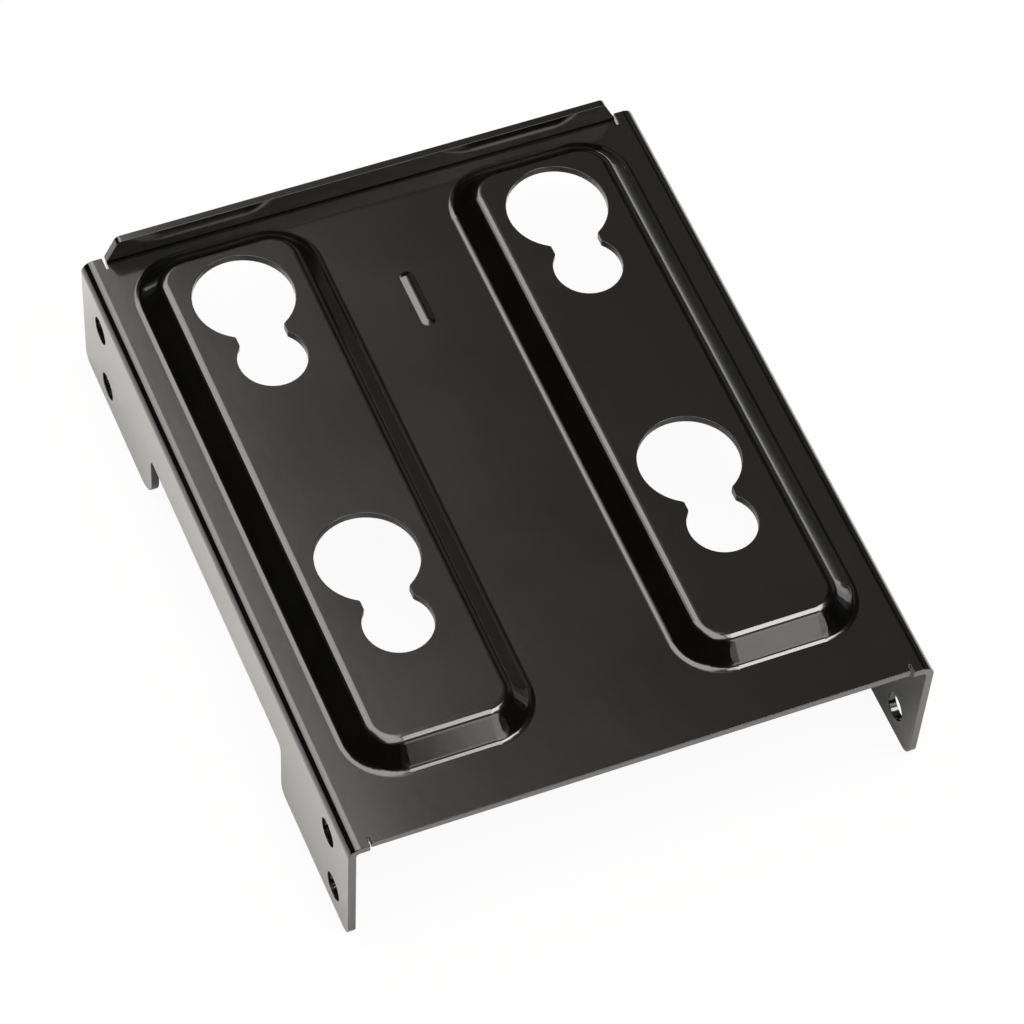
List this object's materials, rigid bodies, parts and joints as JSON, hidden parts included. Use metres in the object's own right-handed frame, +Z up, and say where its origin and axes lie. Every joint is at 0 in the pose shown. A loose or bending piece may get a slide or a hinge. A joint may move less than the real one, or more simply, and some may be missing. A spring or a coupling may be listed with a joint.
{
  "type": "ssd mounting bracket",
  "caption": "Folded black steel bracket with raised keyhole pads, side tabs with screw holes and an upturned rear lip, for hanging small drives on a computer chassis wall.",
  "frame": {"origin": "on the ground plane under the middle of the flanges, with the tabs standing on it", "axes": "+X to the right across the bracket, +Y from the front edge to the rear lip, +Z up out of the plate, on the side of the raised pads"},
  "size_m": [0.0728, 0.0896, 0.0218],
  "materials": {
    "black_paint": "semi-gloss black paint on steel sheet"
  },
  "bodies": {
    "root": {"mounting_bracket": "black_paint"}
  },
  "joints": []
}
